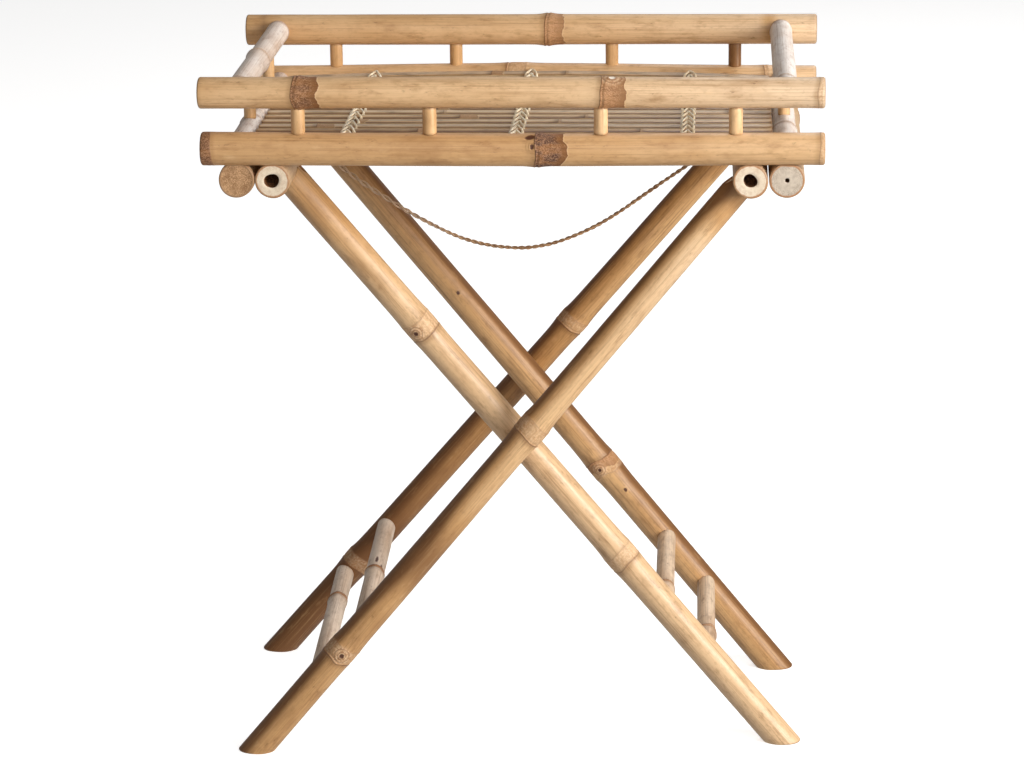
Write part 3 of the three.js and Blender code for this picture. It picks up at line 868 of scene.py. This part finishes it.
class Cords:
    """Gathers closed tubes into one mesh."""

    def __init__(self, name, material):
        self.name, self.material = name, material
        self.points, self.grain, self.faces, self.count = [], [], [], 0

    def tube(self, line, thickness, sides=8, flat=1.0, spacing=0.8 * MM, shift=0.0):
        """Adds a tube along a line, which is smoothed to points a spacing apart unless that is None."""
        line, spots = smooth_line(line, spacing) if spacing else (np.array(line), np.arange(len(line)) * MM)
        points, grain = tube_rings(line, spots, thickness, sides, flat)
        rows = len(line)
        base = self.count
        for row in range(rows - 1):
            for i in range(sides):
                j = (i + 1) % sides
                low, high = base + row * sides, base + (row + 1) * sides
                self.faces.append((low + i, low + j, high + j, high + i))
        self.faces.append(tuple(base + i for i in reversed(range(sides))))
        self.faces.append(tuple(base + (rows - 1) * sides + i for i in range(sides)))
        self.points.append(points.reshape(-1, 3))
        self.grain.append(grain.reshape(-1, 3) + (shift, shift, 0))
        self.count += rows * sides

    def finish(self, slot):
        piece = make_piece(self.name, self.points, self.faces, [self.material], {"grain": self.grain})
        return piece


def add_fibres(cords, rng, line, first, second, count, longest):
    """Loose fibres that stand out of the rope."""
    for _ in range(count):
        at = rng.integers(12, len(line) - 12)
        turn = rng.uniform(0, 2 * math.pi)
        out = math.cos(turn) * first[at] + math.sin(turn) * second[at]
        along = line[at + 2] - line[at - 2]
        along /= np.linalg.norm(along)
        way = out + along * rng.uniform(-1.8, 1.8)
        way /= np.linalg.norm(way)
        root = line[at] + out * 1.2 * MM
        length = rng.uniform(0.4, 1) * longest
        curl = np.cross(way, along) * rng.uniform(-0.3, 0.3) * length
        hair = [root, root + way * length * 0.5 + curl * 0.3, root + way * length + curl]
        cords.tube(hair, 0.09 * MM, sides=3)


def make_rope():
    """Two strands laid round each other, slacker and frayed towards the left, hanging between the top bars."""
    line, spots = smooth_line([(x, 0, z) for x, z in ROPE_ROUTE], 1.0 * MM)
    first, second = frames_along(line)
    rng = np.random.default_rng(5)
    cords = Cords("rope_twisted", JUTE_LOOK)
    slack = np.clip((0.17 - spots) / 0.05, 0, 1) * np.clip(spots / 0.02, 0, 1)
    turn = np.cumsum(2 * math.pi * np.gradient(spots) / (15 * MM + 14 * MM * slack))
    apart = (1.0 + 0.65 * slack) * MM
    for strand in range(2):
        phase = turn + strand * math.pi
        offset = apart[:, None] * (np.cos(phase)[:, None] * first + np.sin(phase)[:, None] * second)
        uneven = 1 + 0.08 * np.sin(spots / 0.011 + strand) + 0.06 * np.sin(spots / 0.0043)
        cords.tube(line + offset, (1.2 - 0.1 * slack) * MM * uneven, sides=10, spacing=None, shift=strand * 0.3)
    add_fibres(cords, rng, line, first, second, 160, 2.0 * MM)
    add_fibres(cords, rng, line[:190], first, second, 260, 3.4 * MM)
    piece = cords.finish("jute_rope")
    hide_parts("rope")
    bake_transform(piece)


# ---- Tray ----

RAIL_EDGE = 2.6 * MM


def make_long_rails():
    """The four rails along the tray. Rings are placed by distance from the left end."""
    eye = Bud((0, -0.29, 0.96), 12.5, 1.3, 1.3, PALE)
    spots = (Bud((0, -0.56, 0.83), -6, 1.6, 1.7, SOLID), Bud((0, -0.93, 0.36), -3.5, 1.2, 0.95, SOLID))
    # The tone pairs rise towards the right end: partly the rails' own tone, partly painted sheen where the key light
    # from the right falls.
    rails = {
        "rail_front_upper": ([Ring(0.1021, 29, shade=0.8), Ring(0.4183, 27, (eye,), shade=0.4),
                              Ring(0.6435, swell=0.2, ink=0.3)], (0.4, 0.9), (1.02, 0.955), (2.4, 1.2), 0.5, ()),
        "rail_front_lower": ([Ring(0.0125, 20, swell=0.2, way=-1, shade=0.8), Ring(0.3518, 29, spots, shade=1),
                              Ring(0.644, swell=0.2, ink=0.3)], (0.16, 0.56), (1.02, 0.97), (3.4, 0.8), -1.2, ()),
        # The back rails' dips are painted shade: beside the side rails on the upper rail, and beside post_back_4 on the
        # lower rail, that one partly stain.
        "rail_back_upper": ([Ring(0.3433, 22, shade=0.3)], (0.3, 0.84), (1, 0.99), (3.6, 0.4), 0,
                            ((0.024, 0.009, 0.4), (0.596, 0.006, 0.4))),
        "rail_back_lower": ([Ring(0.3, 0, swell=1.3, band=22), Ring(0.59, swell=0.4, ink=0.4)], (0.5, 0.75), (1, 0.98),
                            (1, 0.4), 3, ((0.545, 0.02, 0.4),)),
    }
    for seed, (node, (rings, tone, taper, inset, bow, dips)) in enumerate(rails.items(), start=1):
        ends = [End(cut_back(distance * MM), RAIL_EDGE, sunk=1.2 * MM, wall=5 * MM) for distance in inset]
        culm(node + "_culm", node, "tray", "bamboo_pole", POLE_LOOKS, rings, ends, tone, seed, 60, bow, taper=taper,
             dips=dips)


def make_side_rails():
    """The thinner rails across the tray's ends, fitted to the long rails."""
    rings = {
        "side_rail_left_upper": [Ring(0.01, swell=0.5), Ring(0.165), Ring(0.338, 12, swell=0.4, ink=0.3, shade=0.2)],
        "side_rail_left_lower": [Ring(0.1), Ring(0.28, 8, shade=0.2)],
        "side_rail_right_upper": [Ring(0.02, swell=0.5), Ring(0.34, 12, swell=0.4, ink=0.3, shade=0.2)],
        "side_rail_right_lower": [Ring(0.062), Ring(0.24)],
    }
    for seed, (node, placed) in enumerate(rings.items(), start=11):
        level = node.rsplit("_", 1)[1]
        ends = fitted_ends(f"rail_front_{level}", f"rail_back_{level}", 0.5)
        tone = 0.46 if "left" in node else 0.66
        culm(node + "_culm", node, "tray", "bamboo_pole", PALE_LOOKS, placed, ends, (tone, tone - 0.1), seed, 44)


# post_back_4's dark tone is painted shade of the right side rail, partly the post's own darker skin.
POST_TONES = {"post_front_3": 0.68, "post_front_4": 0.62, "post_back_1": 0.35, "post_back_2": 0.25, "post_back_4": -0.4}


def make_posts():
    """Short posts between the rails, fitted at both ends."""
    names = [n for n in NODES if n.startswith("post_")]
    for seed, node in enumerate(sorted(names), start=21):
        side = node.split("_")[1]
        prefix = f"rail_{side}" if side in ("front", "back") else f"side_rail_{side}"
        ends = fitted_ends(prefix + "_lower", prefix + "_upper", 0.3)
        shade = POST_TONES.get(node, 0.5)
        culm(node + "_peg", node, "tray", "bamboo_peg", PEG_LOOKS, (), ends, (shade, shade), seed, 30)


def rail_notches(node):
    """Where a pole under the tray is hollowed to take the two lower long rails."""
    pole = Pole(node)
    notches = []
    for side in ("front", "back"):
        rail = Pole(f"rail_{side}_lower")
        spot = (rail.centre - pole.at(0)) @ pole.axis
        notches.append((spot, (rail.centre, rail.axis, rail.radii[0] + 0.3 * MM)))
    return notches


def make_tray_beams():
    """The thick poles across the tray's underside: one closed by a joint, one with a small pith hole."""
    closed = End(edge=1.2 * MM, sunk=0.4 * MM, wall=1.4 * MM)
    pithy = End(edge=1.0 * MM, bore=2.3 * MM, depth=12 * MM)
    beams = {
        "tray_beam_left": ((BAR_LOOK, BAR_LOOK, CORK_LOOK), [Ring(0.003, swell=0.4), Ring(0.2)], closed, (0.2, 0.4)),
        "tray_beam_right": ((BAR_LOOK, GREY_CUT_LOOK, BORE_LOOK), [Ring(0.13), Ring(0.31)], pithy, (0.5, 0.5)),
    }
    for seed, (node, (looks, rings, end, tone)) in enumerate(beams.items(), start=41):
        culm(node + "_culm", node, "tray", "bamboo_bar", looks, rings, (end, end), tone, seed, 60,
             notches=rail_notches(node))


SLAT_CORNER = 5 * MM
SLAT_CROWN = 1.8 * MM
SLAT_BOW = 5.5 * MM
ACROSS = np.array((-1, -0.985, -0.93, -0.8, -0.55, -0.28, 0, 0.28, 0.55, 0.8, 0.93, 0.985, 1))
# Painted light: the slats at the back are made palest so that they read as lit.
PAINTED_LIGHT_BEHIND = 0.12  # slats behind this y are the palest ones
LAST_WIDER = 3.3 * MM  # how much wider the last slat is on each side of its middle
ROUNDED = np.array((0.0, 0.55, 0.9, 1, 1, 1, 1, 1, 1, 1, 0.9, 0.55, 0))


def slat_arch(x, y):
    """How far the slats bow up, most in the middle of the ones at the back."""
    (low_x, _, _), (high_x, _, _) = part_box("slat_07")
    towards_back = np.clip((y - 0.04) / 0.11, 0, 1) ** 1.5
    return SLAT_BOW * np.sin(math.pi * (x - low_x) / (high_x - low_x)) ** 0.8 * towards_back


def slat_names():
    return sorted(n for n in NODES if n.startswith("slat_") and "bearer" not in n)


def make_slat(node, seed):
    """A split culm: crowned skin on top, darker split edges, rounded corners, and a joint or two."""
    low, high = (np.array(corner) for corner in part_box(node))
    rng = np.random.default_rng(seed)
    length, width, _ = high - low
    rings = [Ring(rng.uniform(0.06, 0.24), rng.uniform(0, 26), swell=0.3), Ring(rng.uniform(0.3, 0.5), 0, swell=0.3)]
    corner = SLAT_CORNER * (1 - np.cos(np.linspace(0, math.pi / 2, 9)))
    steps = [np.linspace(0, length, 60), corner, length - corner] + [ring.at + RING_STEPS for ring in rings]
    spots = np.unique(np.concatenate(steps).round(6))
    from_end = np.minimum(spots, length - spots)
    cut_in = SLAT_CORNER - np.sqrt(np.maximum(SLAT_CORNER**2 - (SLAT_CORNER - from_end) ** 2, 0))
    narrow = np.where(from_end < SLAT_CORNER, cut_in, 0)
    raised = sum(ring_profile((spots - ring.at) / MM, ring) for ring in rings)
    near = (spots[:, None] - np.array([ring.at for ring in rings])) / MM
    which = np.abs(near).argmin(axis=1)
    beyond = np.clip(near[np.arange(len(spots)), which], -FAR, FAR) * math.pi / FAR
    patch = np.array([ring.patch for ring in rings])[which]
    shade = rng.uniform(0.1, 0.85)
    middle = (low[1] + high[1]) / 2
    # Painted light: the back slats get the palest tone so that they read as lit.
    if middle > PAINTED_LIGHT_BEHIND:
        shade = 1
    last = LAST_WIDER if node == "slat_14" else 0
    sides = 2 * len(ACROSS)
    # Painted light: a painted highlight along each slat's crown and painted shade at its edges, towards the gaps.
    tint = shade + 0.7 - 2.2 * np.concatenate((ACROSS, ACROSS[::-1])) ** 2  # paler in the middle than at the edges
    skin = Skin(node + "_split", (SLAT_LOOK, SPLIT_LOOK))
    for row, spot in enumerate(spots):
        y = ACROSS * (width / 2 - narrow[row]) + last * (ACROSS + 1) + 0.25 * MM * math.sin(spot / length * 5 + seed)
        top = high[2] - SLAT_CROWN * ACROSS**2 - 0.9 * MM * (1 - ROUNDED) + raised[row] - 0.2 * MM
        bottom = low[2] + 0.8 * MM * (1 - ACROSS**2)
        outline_y, outline_z = np.concatenate((y, y[::-1])), np.concatenate((top, bottom))
        outline_z = outline_z + slat_arch(low[0] + min(max(spot, 0), length), middle)
        points = np.stack((np.full(sides, low[0] + spot), outline_y + middle, outline_z), axis=1)
        grain = np.stack((outline_y, outline_z - low[2], np.full(sides, spot + seed * 1.7)), axis=1)
        mark = (math.cos(beyond[row]), math.sin(beyond[row]), patch[row])
        trait = np.stack((np.full(sides, 3), np.full(sides, from_end[row] / MM), tint), axis=1)
        start = skin.add_ring(points, grain, mark, trait, (20, NO_BUD, 0), (0.5, 0.1, 0))
        if row:
            for i in range(sides):
                previous, j = start - sides, (i + 1) % sides
                skin.faces.append((previous + i, start + i, start + j, previous + j))
                skin.kinds.append(SKIN if 2 <= i <= 9 else CUT)
    skin.faces += [tuple(range(sides)), tuple(start + i for i in reversed(range(sides)))]
    skin.kinds += [CUT, CUT]
    skin.finish("tray", "bamboo_slat", node)


def make_slats():
    for seed, node in enumerate(slat_names(), start=51):
        make_slat(node, seed)


def make_bearers():
    """Thin whole canes under the slats, fitted between the lower long rails."""
    for seed, side in enumerate(("left", "middle", "right"), start=71):
        node = f"slat_bearer_{side}"
        ends = fitted_ends("rail_front_lower", "rail_back_lower", 0.3)
        rings = [Ring(0.07 + 0.02 * (seed % 3), swell=0.35), Ring(0.2, swell=0.35), Ring(0.3, swell=0.35)]
        culm(node + "_cane", node, "tray", "bamboo_peg", PEG_LOOKS, rings, ends, (0.4, 0.4), seed, 24)


def make_lashings():
    """Cream cord: two stitches that cross over every slat, and a turn round the bearer in every gap."""
    boxes = [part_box(n) for n in slat_names()]
    top = boxes[0][1][2]
    gaps = [boxes[0][0][1] - 1.2 * MM]
    gaps += [(a[1][1] + b[0][1]) / 2 for a, b in zip(boxes, boxes[1:])]
    gaps += [boxes[-1][1][1] + 1.2 * MM]
    for number, side in enumerate(("left", "middle", "right")):
        rng = np.random.default_rng(90 + number)
        bearer = Pole(f"slat_bearer_{side}")
        x, z = bearer.centre[0], bearer.centre[2]
        low = bearer.radii[0] + 1.2 * MM
        cords = Cords(f"lashing_{side}_cord", RAFFIA_LOOK)
        for near, far in zip(gaps, gaps[1:]):
            for way in (-1, 1):
                line = stitch(x, near, far, top, way, rng)
                cords.tube(line, rng.uniform(0.95, 1.1) * MM, 8, 1.3, shift=rng.uniform(0, 3))
        for gap in gaps[1:-1]:
            brow = top - 1.5 * MM + slat_arch(x, gap)
            turn = [(x - 5.4 * MM, gap, brow), (x - 6.8 * MM, gap, z + 3 * MM), (x - low, gap, z - 1 * MM)]
            turn += [(x - 0.6 * low, gap, z - 0.9 * low), (x, gap, z - low), (x + 0.6 * low, gap, z - 0.9 * low)]
            turn += [(x + low, gap, z - 1 * MM), (x + 6.8 * MM, gap, z + 3 * MM), (x + 5.4 * MM, gap, brow)]
            cords.tube(turn, 1.1 * MM, shift=rng.uniform(0, 3))
        piece = cords.finish("raffia_cord")
        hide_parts(f"lashing_{side}")
        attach(piece, "tray")


def stitch(x, near, far, top, way, rng):
    """One slanting stitch over a slat, from the front gap to the back gap, crossing its partner at the back."""
    wide, past = 6.6 * MM, -1.3 * MM
    lift = 0.5 * MM if way > 0 else 0
    line = []
    for along, share, height in ((0, 0, -5), (0.02, 0, -1.6), (0.13, 0.08, 0.1), (0.36, 0.32, 0.9), (0.62, 0.62, 1.5),
                                 (0.86, 0.9, 1.7), (0.98, 1, 0.2), (1, 1, -5)):
        side = way * (wide + (past - wide) * share) + rng.uniform(-0.4, 0.4) * MM
        over = lift * math.sin(math.pi * along) + height * MM
        y = near + (far - near) * along
        line.append((x + side, y, top + over + slat_arch(x, y)))
    return line


# ---- Stand ----


def make_top_bars():
    """The bars that the tray rests on, hollow at both ends."""
    rings = {"top_bar_left": [Ring(0.09), Ring(0.3)], "top_bar_right": [Ring(0.15), Ring(0.34)]}
    bodies = {"top_bar_left": "inner_frame", "top_bar_right": "outer_frame"}
    bores = {"top_bar_left": (7.6 * MM, 1.3), "top_bar_right": (7.0 * MM, 0.4)}
    for seed, node in enumerate(rings, start=101):
        bore, turn = bores[node]
        bored = End(edge=1.2 * MM, bore=bore, depth=25 * MM, turn=turn)
        culm(node + "_culm", node, bodies[node], "bamboo_bar", BAR_LOOKS, rings[node], (bored, bored), (0.5, 0.5),
             seed, 60, notches=rail_notches(node))


def leg_top(bar_node, aside, below, slope):
    """A leg's top: fitted to its bar, with the corner away from the bar cut off on a slope."""
    bar = Pole(bar_node)
    inwards = -np.sign(bar.centre[0])
    point = bar.centre + np.array((inwards * aside, 0, -below)) * MM
    outward = np.array((inwards * math.sin(math.radians(slope)), 0, math.cos(math.radians(slope))))
    return End(trimmed(fitted_to(bar), point, outward), 0.7 * MM)


def make_legs():
    """Four legs, cut level at the floor. Rings are placed by distance from the foot."""
    pole, dark = (LEG_LOOKS, "bamboo_pole"), (DARK_LOOKS, "bamboo_dark")
    eye_left, eye = (Bud((-0.4, -0.9, 0), 9, 1.15),), (Bud((0.15, -1, 0), 9, 1.25),)
    back_eye, pit = (Bud((-0.3, -0.95, 0), 8),), (Bud((0.2, -1, 0.1), 0, 0.9, 1.4, SOLID),)
    # leg_outer_front's dip at 0.83 is partly painted shadow of its top bar, partly dark brown skin; the darker sides
    # are painted shade on the legs' upper sides, partly browner skin.
    legs = {
        "leg_inner_front": (
            "inner_frame", pole, [Ring(0.282, band=17, ink=0.5), Ring(0.616, 0, eye_left, 1.1, band=20)],
            (0.76, 0.7), leg_top("top_bar_left", 36.2, 16.8, 43), ((0.8, 0.07, 0.5),), None, 0.6,
        ),
        "leg_outer_front": (
            "outer_frame", pole, [Ring(0.157, 0, eye, band=18), Ring(0.485, band=19, swell=1.1)],
            (0.26, 0.86), leg_top("top_bar_right", 27.6, 9.4, 33),
            ((0.31, 0.06, 0.7), (0.83, 0.035, 0.9)), ((-1, 0, 0.8), 1.2), -0.5,
        ),
        "leg_inner_back": (
            "inner_frame", dark,
            [Ring(0.338, 12, back_eye, 1.1, -1, 19, shade=0.3), Ring(0.293, 0, pit, 0, ink=0),
             Ring(0.593, 0, pit, 0, ink=0)],
            (0.66, 0.66), leg_top("top_bar_left", 32, 13, 38), (), ((1, 0, 0.8), 1.0), 0.6,
        ),
        "leg_outer_back": (
            "outer_frame", dark, [Ring(0.153, band=15, swell=1.1), Ring(0.542, band=14, swell=1.2)],
            (-0.6, 0.76), leg_top("top_bar_right", 32, 13, 38),
            ((0.17, 0.05, 0.4), (0.83, 0.035, 0.4)), ((-1, 0, 0.8), 0.8), -0.6,
        ),
    }
    for seed, (node, (body, (looks, slot), rings, tone, top, dips, brown_and_shaded_side, bow)) in enumerate(legs.items(), start=111):
        ends = (End(level_end(0), 1.4 * MM), top)
        culm(node + "_culm", node, body, slot, looks, rings, ends, tone, seed, 60, bow, dips=dips, brown_and_shaded_side=brown_and_shaded_side)


def make_stretchers():
    """Thin poles between the legs of each pair. Rings are placed by distance from the front leg."""
    stains = (Bud((0.1, 0, 1), 26, 0.8, 6, SOLID), Bud((0.7, 0, 0.8), 10, 0.6, 4, SOLID))
    rings = {
        "stretcher_outer_upper": ([Ring(0.13, 9, stains, band=4, ink=0.8, shade=0.5)], (0.5, 0.6)),
        "stretcher_outer_lower": ([Ring(0.2, 9, band=4, ink=0.8, shade=0.5)], (0.5, 0.6)),
        "stretcher_inner_upper": ([Ring(0.022, 9, band=4, ink=0.6, shade=0.3)], (0.5, 0.7)),
        "stretcher_inner_lower": ([Ring(0.034, 9, band=4, ink=0.6, shade=0.3)], (0.5, 0.7)),
    }
    for seed, (node, (placed, tone)) in enumerate(rings.items(), start=121):
        pair = node.split("_")[1]
        looks = WORN_LOOKS if pair == "outer" else TAN_LOOKS
        ends = fitted_ends(f"leg_{pair}_front", f"leg_{pair}_back", 0.3)
        culm(node + "_culm", node, f"{pair}_frame", "bamboo_dark", looks, placed, ends, tone, seed, 44)


def paint_pins_and_spacers():
    """Pins and spacers keep their CAD shape and take a wood finish."""
    look = turned_wood()
    for node in ("pivot_pin_front", "pivot_pin_back", "pivot_spacer_front", "pivot_spacer_back"):
        mesh = NODES[node].data
        mesh.materials.clear()
        mesh.materials.append(look)


make_camera()
make_rope()
make_studio()
make_long_rails()
make_side_rails()
make_posts()
make_tray_beams()
make_slats()
make_bearers()
make_lashings()
make_top_bars()
make_legs()
make_stretchers()
paint_pins_and_spacers()
